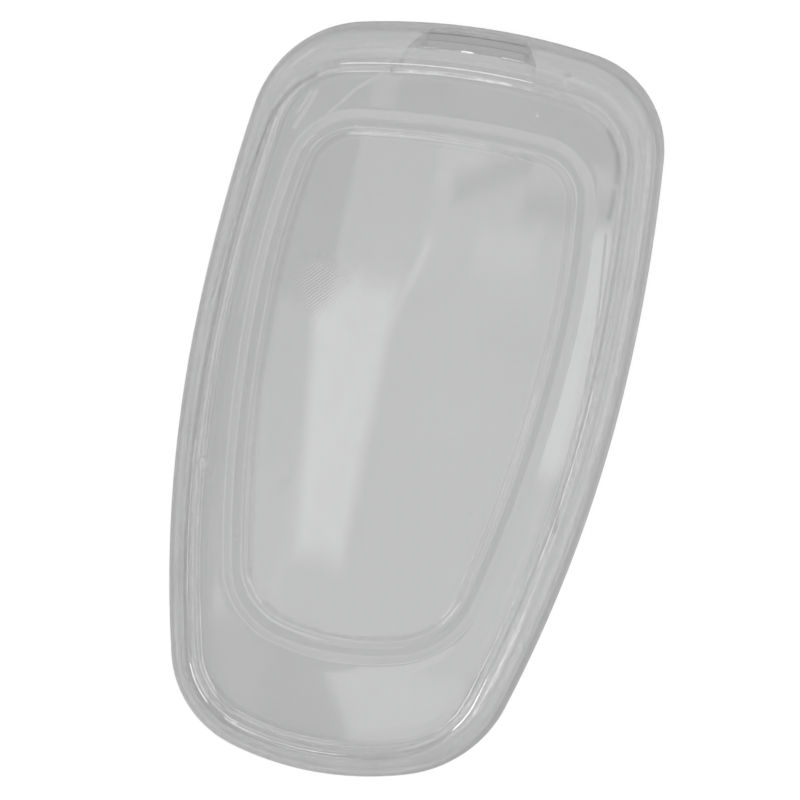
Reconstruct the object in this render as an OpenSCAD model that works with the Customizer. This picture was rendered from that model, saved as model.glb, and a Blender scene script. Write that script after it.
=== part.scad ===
// Clear soft-plastic cover for a car key fob: two thin shells that close round the fob.
// Millimetres. The cover lies on its rear face, its front face up, its wide end towards +Y.
// The origin is under the middle of the cover, on the surface that it lies on.

/* [Body] */
// Length along the middle, before the ends are slanted
cover_length = 82; // [76:0.5:90]
// Width at the widest place, on the parting line
cover_width = 46; // [43:0.1:50]
// Height from the rear face to the crest of the front face
cover_height = 15.6; // [14.6:0.1:17]
// Height of the parting line between the two shells
seam_height = 7.4; // [6.8:0.1:8.2]
// Distance from the wide end to the widest place
wide_end_reach = 34.4; // [33:0.1:36]
// Slant of both ends across the body, in degrees
end_slant = 4.3; // [0:0.1:6]
// Corner radius at the wide end, seen from the front
wide_corner_radius = 11.4; // [10.5:0.1:12.5]
// Corner radius at the narrow end, seen from the front
narrow_corner_radius = 12.9; // [12:0.1:13.5]
// How far the front face falls away from its crest to the widest place
front_arch = 0.8; // [0:0.1:1.2]

/* [Walls] */
// Thickness of the side walls
side_wall = 1.8; // [1.6:0.1:2]
// Thickness of the front face round the button panel
front_wall = 1.8; // [1.5:0.1:2.1]
// Thickness of the rear face
rear_wall = 1.6; // [1.3:0.1:2]
// Lean of the front shell's side where it meets the edge rounding, in degrees
front_side_lean = 36; // [32:1:40]
// Radius of the front edge rounding
front_edge_radius = 1.8; // [1.2:0.1:2.2]
// Lean of the rear shell's side where it meets the edge rounding, in degrees
rear_side_lean = 24; // [20:1:28]
// Radius of the rear edge rounding
rear_edge_radius = 2.6; // [2:0.1:3.2]
// Radius inside the corner between wall and face
inner_fillet_radius = 0.9; // [0.5:0.1:1.2]
// Extra slope of the two end walls, beyond that of the side walls
end_wall_slope = 1.4; // [0.8:0.1:1.8]

/* [Button panel] */
// Length of the thin button panel
panel_length = 54.3; // [50:0.1:56]
// Width of the panel at its widest place
panel_width = 29.9; // [27:0.1:32]
// Distance from the panel's wide end to its widest place
panel_wide_reach = 17.7; // [16:0.1:20]
// Distance from the cover's wide end to the panel's wide end
panel_setback = 11.2; // [10.5:0.1:13]
// Corner radius at the panel's wide end
panel_wide_corner_radius = 5.1; // [4.6:0.1:6]
// Corner radius at the panel's narrow end
panel_narrow_corner_radius = 7.8; // [7:0.1:8.5]
// Depth of the panel below the face round it
panel_recess = 0.5; // [0.2:0.05:0.6]
// Depth of the relief behind the panel
panel_relief = 0.4; // [0.2:0.05:0.5]
// Height of the low rim round the panel
rim_height = 0.3; // [0.1:0.05:0.5]
// Width of the low rim round the panel
rim_width = 1.8; // [1.4:0.1:2.4]

/* [Closure] */
// Height of the rear shell's lip above the parting line
lip_height = 2; // [1.5:0.1:2.5]
// Thickness of the rear shell's lip
lip_thickness = 0.7; // [0.6:0.05:0.8]
// Gap between the lip and the front shell's skirt
lip_clearance = 0.3; // [0.25:0.01:0.35]
// How far the snap bead stands out of the lip
bead_height = 0.15; // [0.08:0.01:0.18]
// Height of the snap bead along the lip
bead_width = 0.8; // [0.6:0.1:1]

/* [Key ring slot] */
// Width of the slot in the wide end wall, along its upper edge
slot_width = 13.5; // [10:0.5:14]
// Height of the slot
slot_height = 4.3; // [3.6:0.1:4.5]
// How far each side of the slot draws in towards its lower edge
slot_taper = 2; // [0.5:0.1:2.4]
// Corner radius of the slot
slot_corner_radius = 0.9; // [0.4:0.1:1.2]
// Height of the slot's lower edge above the parting line: it clears the snap bead
slot_sill = 1.7; // [1.5:0.1:1.9]
// Distance of the slot from the middle line, towards +X
slot_offset = 0.2; // [-3:0.1:3]

/* [Hidden] */

// Normals of the outline where its curves meet, in degrees from the width
body_end_angle = 80;
body_wide_side_angle = 7;
body_narrow_end_angle = 73;
body_narrow_side_angle = 14.6;
panel_end_angle = 84;
panel_wide_side_angle = 9;
panel_narrow_end_angle = 74.4;
panel_narrow_side_angle = 12;

// Flat facets along the end, corner and side curves of one quarter of an outline
quarter_steps = [4, 8, 6];
edge_steps = 4;
side_steps = 4;
inner_fillet_steps = 2;

// Heights and depths of the two halves of the case
front_rise = cover_height - seam_height;
front_inner_rise = front_rise - front_wall;
rear_rise = seam_height;
rear_inner_rise = rear_rise - rear_wall;
front_side_radius =
    (front_rise - front_edge_radius * (1 - sin(front_side_lean))) / sin(front_side_lean);
rear_side_radius =
    (rear_rise - rear_edge_radius * (1 - sin(rear_side_lean))) / sin(rear_side_lean);

// The closure: skirt of the front shell outside, lip of the rear shell inside
lip_outer_inset = side_wall - lip_thickness;
skirt_thickness = lip_outer_inset - lip_clearance;
bead_top = seam_height + (lip_height + bead_width) / 2;
bead_middle = seam_height + lip_height / 2;
bead_foot = seam_height + (lip_height - bead_width) / 2;
rabbet_height = lip_height + lip_clearance;
front_inner_radius = front_side_radius - side_wall;
rear_inner_radius = rear_side_radius - side_wall;
ledge_inset = side_wall + front_inner_radius - sqrt(pow(front_inner_radius, 2) - pow(rabbet_height, 2));

// How far the cutters run past what they cut
overrun = 1;

// One quarter of an outline: radii of its end, corner and side curves, which meet tangent
function quarter(half_width, reach, corner, end_angle, side_angle) =
    let (across = half_width - corner * (cos(side_angle) - cos(end_angle)))
    let (along = reach - corner * (sin(end_angle) - sin(side_angle)))
    let (mix = cos(end_angle) * sin(side_angle) - (1 - cos(side_angle)) * (1 - sin(end_angle)))
    let (end_radius = (across * sin(side_angle) - (1 - cos(side_angle)) * along) / mix)
    let (side_radius = (cos(end_angle) * along - (1 - sin(end_angle)) * across) / mix)
    let (end_centre = [0, reach - end_radius])
    let (corner_centre = end_centre + (end_radius - corner) * [cos(end_angle), sin(end_angle)])
    let (side_centre = corner_centre + (corner - side_radius) * [cos(side_angle), sin(side_angle)])
    [
        [end_centre, end_radius, 90, end_angle],
        [corner_centre, corner, end_angle, side_angle],
        [side_centre, side_radius, side_angle, 0],
    ];

// Points of one quarter from its end to its side, moved inwards by an inset
function quarter_points(curves, inset) = concat(
    [
        for (i = [0:len(curves) - 1])
            let (curve = curves[i])
            for (k = [0:quarter_steps[i] - 1])
                let (angle = curve[2] + (curve[3] - curve[2]) * k / quarter_steps[i])
                curve[0] + (curve[1] - inset) * [cos(angle), sin(angle)]
    ],
    [curves[2][0] + [curves[2][1] - inset, 0]]
);

// Points of a whole outline, clockwise from the wide end
function outline(shape, inset) =
    let (wide = quarter_points(shape[0], inset))
    let (narrow = quarter_points(shape[1], inset))
    let (last_wide = len(wide) - 1)
    let (last_narrow = len(narrow) - 1)
    concat(
        [for (i = [0:last_wide - 1]) [wide[i].x, shape[2] + wide[i].y]],
        [for (i = [last_narrow:-1:1]) [narrow[i].x, shape[2] - narrow[i].y]],
        [for (i = [0:last_narrow - 1]) [-narrow[i].x, shape[2] - narrow[i].y]],
        [for (i = [last_wide:-1:1]) [-wide[i].x, shape[2] + wide[i].y]]
    );

// The two outlines: quarters at the wide and narrow ends, and where the widest place lies
body_shape = [
    quarter(cover_width / 2, wide_end_reach, wide_corner_radius, body_end_angle, body_wide_side_angle),
    quarter(cover_width / 2, cover_length - wide_end_reach, narrow_corner_radius,
        body_narrow_end_angle, body_narrow_side_angle),
    cover_length / 2 - wide_end_reach,
];
panel_shape = [
    quarter(panel_width / 2, panel_wide_reach, panel_wide_corner_radius,
        panel_end_angle, panel_wide_side_angle),
    quarter(panel_width / 2, panel_length - panel_wide_reach, panel_narrow_corner_radius,
        panel_narrow_end_angle, panel_narrow_side_angle),
    cover_length / 2 - panel_setback - panel_wide_reach,
];

// The slant moves the end points a little, so the whole is centred again
function slanted(point) = [point.x, point.y + point.x * tan(end_slant)];
widest_outline = [for (point = outline(body_shape, 0)) slanted(point)];
outline_ys = [for (point = widest_outline) point.y];
centre_shift = -(max(outline_ys) + min(outline_ys)) / 2;

// One point of a plan, slanted and centred, with the end walls' extra slope drawn in
function planted(point, end_inset) =
    let (drawn = [point.x, point.y * (1 - end_inset / (cover_length / 2))])
    slanted(drawn) + [0, centre_shift];

// Height of the front face over a place: it arches across the width
function front_height(x) = cover_height - front_arch * pow(x / (cover_width / 2), 2);

// A ring round the front shell's side, a share of the way up from the parting line to a face
function front_side_ring(inset, rise_share, drop) = [
    for (point = outline(body_shape, inset))
        let (place = planted(point, end_wall_slope * rise_share))
        [place.x, place.y, seam_height + (front_height(place.x) - drop - seam_height) * rise_share]
];

// A ring at one level, on the body's outline
function level_ring(inset, end_inset, height) = [
    for (point = outline(body_shape, inset))
        let (place = planted(point, end_inset))
        [place.x, place.y, height]
];

// A ring of the front face that follows the panel's outline
function panel_ring(inset, lift) = [
    for (point = outline(panel_shape, inset))
        let (place = planted(point, 0))
        [place.x, place.y, front_height(place.x) + lift]
];

// A ring inside the panel, drawn in towards its middle
function inner_panel_ring(size_share, lift) = [
    for (point = outline(panel_shape, 0))
        let (middle = [0, panel_shape[2]])
        let (place = planted(middle + (point - middle) * size_share, 0))
        [place.x, place.y, front_height(place.x) + lift]
];

// Insets and rises along a wall that curves in by its side radius and then by its edge radius
function wall_profile(side_radius, side_angle, edge_radius, side_count, edge_count) = concat(
    [
        for (k = [0:side_count - 1])
            let (angle = side_angle * k / side_count)
            [side_radius * (1 - cos(angle)), side_radius * sin(angle)]
    ],
    [
        for (k = [0:edge_count])
            let (angle = side_angle + (90 - side_angle) * k / edge_count)
            [
                side_radius * (1 - cos(side_angle)) + edge_radius * (cos(side_angle) - cos(angle)),
                side_radius * sin(side_angle) + edge_radius * (sin(angle) - sin(side_angle))
            ]
    ]
);

// Lean of an inner wall where it meets the inner fillet
function inner_lean(inner_radius, rise) =
    asin((rise - inner_fillet_radius) / (inner_radius - inner_fillet_radius));

front_outer_profile = wall_profile(front_side_radius, front_side_lean,
    front_edge_radius, side_steps, edge_steps);
front_inner_profile = wall_profile(front_inner_radius, inner_lean(front_inner_radius, front_inner_rise),
    inner_fillet_radius, side_steps, inner_fillet_steps);
rear_outer_profile = wall_profile(rear_side_radius, rear_side_lean,
    rear_edge_radius, side_steps, edge_steps);
rear_inner_profile = wall_profile(rear_inner_radius, inner_lean(rear_inner_radius, rear_inner_rise),
    inner_fillet_radius, side_steps, inner_fillet_steps);

// Section of the panel's border, from the panel outwards: distance out and height, as shares
rim_out_shares = [-0.14, 0.02, 0.16, 0.34, 0.5, 0.7, 1];
rim_lift_shares = [0, 0.06, 0.4, 0.86, 1, 0.72, 0];
rim_crest_share = 0.5;
relief_out_shares = [-0.1, 0.08, 0.3, 0.42];
relief_lift_shares = [1, 0.85, 0.2, 0];
inner_panel_shares = [0.35, 0.7];

// Rings in order over a closed skin, with a middle point at each end of the list
module skin(first_middle, rings, last_middle) {
    count = len(rings[0]);
    last = len(rings) - 1;
    points = concat([for (ring = rings) each ring], [first_middle, last_middle]);
    first_index = len(rings) * count;
    side_faces = [
        for (r = [0:last - 1])
            for (i = [0:count - 1])
                let (j = (i + 1) % count)
                each [
                    [r * count + i, (r + 1) * count + i, (r + 1) * count + j],
                    [r * count + i, (r + 1) * count + j, r * count + j],
                ]
    ];
    first_faces = [for (i = [0:count - 1]) [first_index, i, (i + 1) % count]];
    last_faces = [
        for (i = [0:count - 1])
            [first_index + 1, last * count + (i + 1) % count, last * count + i]
    ];
    polyhedron(points, concat(side_faces, first_faces, last_faces));
}

// A direction of length 1
function unit(v) = v / norm(v);

// A plan with its corners rounded, listed in the order of its corners, anticlockwise
function rounded(corners, radius, steps) = [
    for (i = [0:len(corners) - 1])
        let (corner = corners[i])
        let (back = unit(corners[(i + len(corners) - 1) % len(corners)] - corner))
        let (on = unit(corners[(i + 1) % len(corners)] - corner))
        let (half_angle = acos(back * on) / 2)
        let (centre = corner + unit(back + on) * radius / sin(half_angle))
        let (first = corner + back * radius / tan(half_angle) - centre)
        let (start = atan2(first.y, first.x))
        for (k = [0:steps])
            let (angle = start + (180 - 2 * half_angle) * k / steps)
            centre + radius * [cos(angle), sin(angle)]
];

// Cutter for the key ring slot, through the front shell's wall and the top of the lip behind it
module slot_cutter() {
    upper = slot_width / 2;
    lower = upper - slot_taper;
    corners = [[-lower, 0], [lower, 0], [upper, slot_height], [-upper, slot_height]];
    translate([slot_offset, cover_length / 2 + overrun * 2, seam_height + slot_sill])
        rotate([90, 0, 0])
            linear_extrude(side_wall + end_wall_slope + overrun * 4)
                polygon(rounded(corners, slot_corner_radius, 6));
}

// Rings from the panel's rim down the outside of the front shell, then up its inside to the relief
function front_rings() = concat(
    [for (size_share = inner_panel_shares) inner_panel_ring(size_share, -panel_recess)],
    [
        for (i = [0:len(rim_out_shares) - 1])
            let (inside_crest = rim_out_shares[i] <= rim_crest_share)
            let (foot = inside_crest ? -panel_recess : 0)
            panel_ring(-rim_width * rim_out_shares[i], foot + (rim_height - foot) * rim_lift_shares[i])
    ],
    [
        for (i = [len(front_outer_profile) - 1:-1:0])
            let (step = front_outer_profile[i])
            front_side_ring(step[0], step[1] / front_rise, 0)
    ],
    [
        level_ring(skirt_thickness, 0, seam_height),
        level_ring(skirt_thickness, 0, bead_foot),
        level_ring(skirt_thickness - bead_height, 0, bead_middle),
        level_ring(skirt_thickness, 0, bead_top),
        level_ring(skirt_thickness, 0, seam_height + rabbet_height),
        level_ring(ledge_inset, 0, seam_height + rabbet_height),
    ],
    [
        for (i = [0:len(front_inner_profile) - 1])
            let (step = front_inner_profile[i])
            if (step[1] > rabbet_height + inner_fillet_radius / 2)
                front_side_ring(side_wall + step[0], step[1] / front_inner_rise, front_wall)
    ],
    [
        for (i = [len(relief_out_shares) - 1:-1:0])
            panel_ring(-rim_width * relief_out_shares[i], panel_relief * relief_lift_shares[i] - front_wall)
    ],
    [
        for (i = [len(inner_panel_shares) - 1:-1:0])
            inner_panel_ring(inner_panel_shares[i], panel_relief - front_wall)
    ]
);

// Rings from the middle of the rear shell's floor up its inside, over the lip and down its outside
function rear_rings() = concat(
    [
        for (i = [len(rear_inner_profile) - 1:-1:0])
            let (step = rear_inner_profile[i])
            level_ring(side_wall + step[0], end_wall_slope * step[1] / rear_rise, seam_height - step[1])
    ],
    [
        level_ring(side_wall, 0, seam_height + lip_height),
        level_ring(lip_outer_inset, 0, seam_height + lip_height),
        level_ring(lip_outer_inset, 0, bead_top),
        level_ring(lip_outer_inset - bead_height, 0, bead_middle),
        level_ring(lip_outer_inset, 0, bead_foot),
        level_ring(lip_outer_inset, 0, seam_height),
    ],
    [
        for (i = [0:len(rear_outer_profile) - 1])
            let (step = rear_outer_profile[i])
            level_ring(step[0], end_wall_slope * step[1] / rear_rise, seam_height - step[1])
    ]
);

// Front shell: arched face with its thin button panel, and a skirt that reaches to the parting line
module front_shell() {
    middle = planted([0, panel_shape[2]], 0);
    crest = front_height(middle.x);
    color([0.84, 0.85, 0.86])
        difference() {
            skin(
                [middle.x, middle.y, crest - panel_recess],
                front_rings(),
                [middle.x, middle.y, crest + panel_relief - front_wall]
            );
            slot_cutter();
        }
}

// Rear shell: flat rear face, curved sides, and the lip with its snap bead
module rear_shell() {
    middle = planted([0, body_shape[2]], 0);
    color([0.8, 0.81, 0.82])
        difference() {
            skin([middle.x, middle.y, rear_wall], rear_rings(), [middle.x, middle.y, 0]);
            slot_cutter();
        }
}

rear_shell();
front_shell();
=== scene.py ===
"""Clear key fob cover: two soft-plastic shells that close round a car key fob.

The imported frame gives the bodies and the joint. The two shells are made here as smooth walls of
clear plastic that follow the solids, with a softer inside corner, a lower rim round the panel and
rounded edges at the slot. Metres, the rear face down, the wide end at +Y.
"""

import math

import bmesh
import bpy
from bpy.props import FloatProperty, FloatVectorProperty, PointerProperty
from bpy.types import Operator, Panel, PropertyGroup
from mathutils import Matrix, Vector


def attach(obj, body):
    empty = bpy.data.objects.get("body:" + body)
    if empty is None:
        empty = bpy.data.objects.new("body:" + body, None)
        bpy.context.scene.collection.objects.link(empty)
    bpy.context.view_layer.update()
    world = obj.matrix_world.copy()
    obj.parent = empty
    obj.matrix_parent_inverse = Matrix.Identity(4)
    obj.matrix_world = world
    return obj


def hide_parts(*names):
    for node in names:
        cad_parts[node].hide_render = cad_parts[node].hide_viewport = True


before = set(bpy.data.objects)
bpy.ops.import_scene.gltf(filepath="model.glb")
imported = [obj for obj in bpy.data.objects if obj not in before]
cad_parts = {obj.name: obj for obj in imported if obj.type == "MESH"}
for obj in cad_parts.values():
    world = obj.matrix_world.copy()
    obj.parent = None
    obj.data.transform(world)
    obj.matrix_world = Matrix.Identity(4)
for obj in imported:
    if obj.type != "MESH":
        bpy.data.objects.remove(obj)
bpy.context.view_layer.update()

bl_info = {
    "name": "Clear Key Fob Cover",
    "version": (1, 0, 0),
    "blender": (4, 5, 0),
    "location": "View3D > Sidebar > Fob Cover",
    "description": "Models a clear two-shell cover for a car key fob",
    "category": "Add Mesh",
}

MM = 0.001


def length(name, description, millimetres):
    """A length property whose default is given in millimetres."""
    return FloatProperty(
        name=name,
        description=description,
        default=millimetres * MM,
        unit="LENGTH",
        precision=5,
    )


def slope(name, description, degrees):
    """An angle property whose default is given in degrees."""
    return FloatProperty(
        name=name,
        description=description,
        default=math.radians(degrees),
        subtype="ANGLE",
    )


def colour(name, description, value):
    """A colour property."""
    return FloatVectorProperty(
        name=name,
        description=description,
        default=value,
        subtype="COLOR",
        size=3,
        min=0,
        max=1,
    )


# Sizes and colours


class CoverBodySizes(PropertyGroup):
    """Outline and heights of the closed cover."""

    cover_length: length("Length", "Length along the middle, before the ends are slanted", 82)
    cover_width: length("Width", "Width at the widest place, on the parting line", 46)
    cover_height: length("Height", "Height from the rear face to the crest of the front", 15.6)
    seam_height: length("Parting line", "Height of the line where the two shells meet", 7.4)
    wide_end_reach: length("Wide end reach", "From the wide end to the widest place", 34.4)
    end_slant: slope("End slant", "Slant of both ends across the body", 4.3)
    wide_corner: length("Wide end corners", "Corner radius at the wide end", 11.4)
    narrow_corner: length("Narrow end corners", "Corner radius at the narrow end", 12.9)
    front_arch: length("Front arch", "How far the front falls away to the widest place", 0.8)
    end_wall_slope: length("End slope", "Extra slope of the two end walls", 1.4)


class WallSizes(PropertyGroup):
    """Thickness, lean and rounding of the walls."""

    side_wall: length("Side walls", "Thickness of the side walls", 1.8)
    front_wall: length("Front wall", "Thickness of the front round the panel", 1.8)
    rear_wall: length("Rear wall", "Thickness of the rear face", 1.6)
    front_lean: slope("Front lean", "Lean of the front side where its edge begins", 36)
    front_edge: length("Front edge", "Radius of the front edge rounding", 1.8)
    rear_lean: slope("Rear lean", "Lean of the rear side where its edge begins", 24)
    rear_edge: length("Rear edge", "Radius of the rear edge rounding", 2.6)
    inner_fillet: length("Inner fillet", "Radius inside the corner of wall and face", 1.5)
    soft_edge: length("Soft edge", "Rounding of the small moulded edges", 0.14)


class ButtonPanelSizes(PropertyGroup):
    """The thin panel over the buttons, and the low rim round it."""

    panel_length: length("Length", "Length of the button panel", 54.3)
    panel_width: length("Width", "Width of the panel at its widest place", 29.9)
    panel_reach: length("Wide end reach", "From its wide end to its widest place", 17.7)
    panel_setback: length("Setback", "From the cover's wide end to the panel's", 11.2)
    wide_corner: length("Wide end corners", "Corner radius at its wide end", 5.1)
    narrow_corner: length("Narrow end corners", "Corner radius at its narrow end", 7.8)
    recess: length("Recess", "Depth of the panel below the face round it", 0.5)
    relief: length("Relief", "Depth of the relief behind the panel", 0.4)
    rim_height: length("Rim height", "Height of the low rim round the panel", 0.22)
    rim_width: length("Rim width", "Width of the low rim round the panel", 1.8)


class ClosureSizes(PropertyGroup):
    """The rear shell's lip and the slot for the key ring."""

    lip_height: length("Lip height", "Height of the lip above the parting line", 2)
    lip_thickness: length("Lip thickness", "Thickness of the lip", 0.7)
    lip_gap: length("Lip gap", "Gap between the lip and the front shell's skirt", 0.3)
    bead_height: length("Bead", "How far the snap bead stands out of the lip", 0.15)
    bead_width: length("Bead width", "Height of the snap bead along the lip", 0.8)
    slot_width: length("Slot width", "Width of the key ring slot along its upper edge", 13.5)
    slot_height: length("Slot height", "Height of the slot", 4.3)
    slot_taper: length("Slot taper", "How far each side draws in towards the lower edge", 2)
    slot_corner: length("Slot corners", "Corner radius of the slot", 0.9)
    slot_sill: length("Slot sill", "Height of the slot's lower edge above the parting line", 1.7)
    slot_offset: length("Slot offset", "From the middle line to the slot", 0.2)


class PlasticLook(PropertyGroup):
    """The clear plastic's colour and surface."""

    front_tint: colour("Front tint", "Colour of light through the front shell", (0.93, 0.931, 0.933))
    rear_tint: colour("Rear tint", "Colour of light through the rear shell", (0.457, 0.458, 0.46))
    bend: FloatProperty(name="Bend of light", description="Index of refraction", default=1.53)


class StageLook(PropertyGroup):
    """The floor and the camera."""

    floor_colour: colour("Floor", "Colour of the floor", (0.96, 0.96, 0.96))
    camera_distance: length("Camera distance", "From the camera to the parting line", 300)
    camera_focal: length("Lens", "Focal length over a 36 mm sensor", 127)


# Outline of the cover and of its button panel, from arcs that meet tangent

# Degrees from straight across to where a corner meets its end and its side, wide end then narrow
BODY_ANGLES = (80, 7, 73, 14.6)
PANEL_ANGLES = (84, 9, 74.4, 12)

# Points on an end arc, a corner arc and a side arc
ARC_STEPS = (18, 30, 24)


def quarter(half_width, reach, corner, end_angle, side_angle):
    """The end, corner and side arcs of one quarter: centre, radius, first and last angle."""
    end_angle, side_angle = math.radians(end_angle), math.radians(side_angle)
    cos_end, sin_end = math.cos(end_angle), math.sin(end_angle)
    cos_side, sin_side = math.cos(side_angle), math.sin(side_angle)
    across = half_width - corner * (cos_side - cos_end)
    along = reach - corner * (sin_end - sin_side)
    mix = cos_end * sin_side - (1 - cos_side) * (1 - sin_end)
    end_radius = (across * sin_side - (1 - cos_side) * along) / mix
    side_radius = (cos_end * along - (1 - sin_end) * across) / mix
    end_centre = Vector((0, reach - end_radius))
    corner_centre = end_centre + (end_radius - corner) * Vector((cos_end, sin_end))
    side_centre = corner_centre + (corner - side_radius) * Vector((cos_side, sin_side))
    return (
        (end_centre, end_radius, math.pi / 2, end_angle),
        (corner_centre, corner, end_angle, side_angle),
        (side_centre, side_radius, side_angle, 0),
    )


def quarter_points(arcs, inset):
    """Points of a quarter from its end to its side, moved inwards by an inset."""
    points = []
    for (centre, radius, first, last), steps in zip(arcs, ARC_STEPS):
        for k in range(steps):
            angle = first + (last - first) * k / steps
            points.append(centre + (radius - inset) * Vector((math.cos(angle), math.sin(angle))))
    centre, radius = arcs[-1][:2]
    points.append(centre + Vector((radius - inset, 0)))
    return points


def outline(shape, inset):
    """Points of a whole outline, clockwise from the middle of its wide end."""
    wide_arcs, narrow_arcs, widest_at = shape
    wide = [(p.x, widest_at + p.y) for p in quarter_points(wide_arcs, inset)]
    narrow = [(p.x, widest_at - p.y) for p in quarter_points(narrow_arcs, inset)]
    left_narrow = [(-x, y) for x, y in narrow[:-1]]
    left_wide = [(-x, y) for x, y in wide[:0:-1]]
    return wide[:-1] + narrow[:0:-1] + left_narrow + left_wide


class CoverShape:
    """Every ring of points that the two shells are made of."""

    def __init__(self, body, wall, panel, closure):
        self.body, self.wall, self.panel, self.closure = body, wall, panel, closure
        half = body.cover_width / 2
        wide_end, wide_side, narrow_end, narrow_side = BODY_ANGLES
        reach = body.wide_end_reach
        self.body_shape = (
            quarter(half, reach, body.wide_corner, wide_end, wide_side),
            quarter(half, body.cover_length - reach, body.narrow_corner, narrow_end, narrow_side),
            body.cover_length / 2 - reach,
        )
        half = panel.panel_width / 2
        wide_end, wide_side, narrow_end, narrow_side = PANEL_ANGLES
        reach = panel.panel_reach
        self.panel_shape = (
            quarter(half, reach, panel.wide_corner, wide_end, wide_side),
            quarter(half, panel.panel_length - reach, panel.narrow_corner, narrow_end, narrow_side),
            body.cover_length / 2 - panel.panel_setback - reach,
        )
        self.slant = math.tan(body.end_slant)
        self.shift = 0
        ends = [y + x * self.slant for x, y in outline(self.body_shape, 0)]
        self.shift = -(max(ends) + min(ends)) / 2

    def place(self, x, y, end_inset):
        """A point of a plan, slanted and centred, with the end walls' slope drawn in."""
        y *= 1 - end_inset / (self.body.cover_length / 2)
        return x, y + x * self.slant + self.shift

    def face_height(self, x):
        """Height of the front face: it arches across the width."""
        share = x / (self.body.cover_width / 2)
        return self.body.cover_height - self.body.front_arch * share**2

    def side_ring(self, inset, rise, drop):
        """A ring round the front side, a share of the way up to a face below the front."""
        seam = self.body.seam_height
        ring = []
        for x, y in outline(self.body_shape, inset):
            x, y = self.place(x, y, self.body.end_wall_slope * rise)
            ring.append(Vector((x, y, seam + (self.face_height(x) - drop - seam) * rise)))
        return ring

    def level_ring(self, inset, end_inset, height):
        """A ring of the body's outline at one height."""
        points = (self.place(x, y, end_inset) for x, y in outline(self.body_shape, inset))
        return [Vector((x, y, height)) for x, y in points]

    def panel_ring(self, inset, lift):
        """A ring of the front face that follows the panel's outline."""
        points = (self.place(x, y, 0) for x, y in outline(self.panel_shape, inset))
        return [Vector((x, y, self.face_height(x) + lift)) for x, y in points]

    def face_rings(self, first, last, steps, lift):
        """Rings of the front face between two others."""
        rings = []
        for k in range(1, steps):
            ring = [a.lerp(b, k / steps) for a, b in zip(first, last)]
            rings.append([Vector((p.x, p.y, self.face_height(p.x) + lift)) for p in ring])
        return rings


def wall_profile(side_radius, side_angle, edge_radius, side_steps, edge_steps):
    """Insets and rises along a wall that curves in by its side and then by its edge radius."""
    steps = []
    for k in range(side_steps):
        angle = side_angle * k / side_steps
        steps.append((side_radius * (1 - math.cos(angle)), side_radius * math.sin(angle)))
    foot = side_radius * (1 - math.cos(side_angle)), side_radius * math.sin(side_angle)
    for k in range(edge_steps + 1):
        angle = side_angle + (math.pi / 2 - side_angle) * k / edge_steps
        across = edge_radius * (math.cos(side_angle) - math.cos(angle))
        up = edge_radius * (math.sin(angle) - math.sin(side_angle))
        steps.append((foot[0] + across, foot[1] + up))
    return steps


# A rounded corner takes up at most this share of the shorter line beside it
LONGEST_CORNER_SHARE = 0.45


def soft_corners(points, radius, steps=3):
    """A line of (inset, height) points with each inner corner rounded."""
    line = [points[0]]
    for before, corner, after in zip(points, points[1:], points[2:]):
        before, corner, after = Vector(before), Vector(corner), Vector(after)
        back, on = before - corner, after - corner
        reach = min(radius, LONGEST_CORNER_SHARE * min(back.length, on.length))
        start, end = corner + back.normalized() * reach, corner + on.normalized() * reach
        for k in range(steps + 1):
            t = k / steps
            line.append(tuple(start * (1 - t) ** 2 + corner * 2 * t * (1 - t) + end * t**2))
    line.append(points[-1])
    return line


def radius_for_lean(rise, edge, lean):
    """Radius of a side that meets its edge rounding at a lean."""
    return (rise - edge * (1 - math.sin(lean))) / math.sin(lean)


def inner_profile(radius, rise, fillet, side_steps, fillet_steps):
    """Insets and rises along the inside of a wall, up to the face."""
    lean = math.asin((rise - fillet) / (radius - fillet))
    return wall_profile(radius, lean, fillet, side_steps, fillet_steps)


def smooth(t):
    """From 0 to 1 with level ends."""
    return t * t * (3 - 2 * t)


# Across the rim from the panel's edge outwards: shares of its width on the recessed panel, and
# then shares of its width and height up to the face round it
RECESS_SHARES = (-0.11, 0.14)
RIM_SHARES = ((0.54, 0.85), (0.62, 1), (1.08, 0.03), (1.22, 0))
RIM_CORNER, RIM_CORNER_STEPS = 0.12 * MM, 6
RELIEF_SHARE, RELIEF_STEPS = 0.6, 10
SIDE_STEPS, EDGE_STEPS, FILLET_STEPS, FACE_STEPS = 14, 14, 8, 8


def rim_profile(panel):
    """Places and heights across the rim, from the panel's edge out to the face round it."""
    line = [(out * panel.rim_width, -panel.recess) for out in RECESS_SHARES]
    line += [(out * panel.rim_width, up * panel.rim_height) for out, up in RIM_SHARES]
    return soft_corners(line, RIM_CORNER, RIM_CORNER_STEPS)


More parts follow.
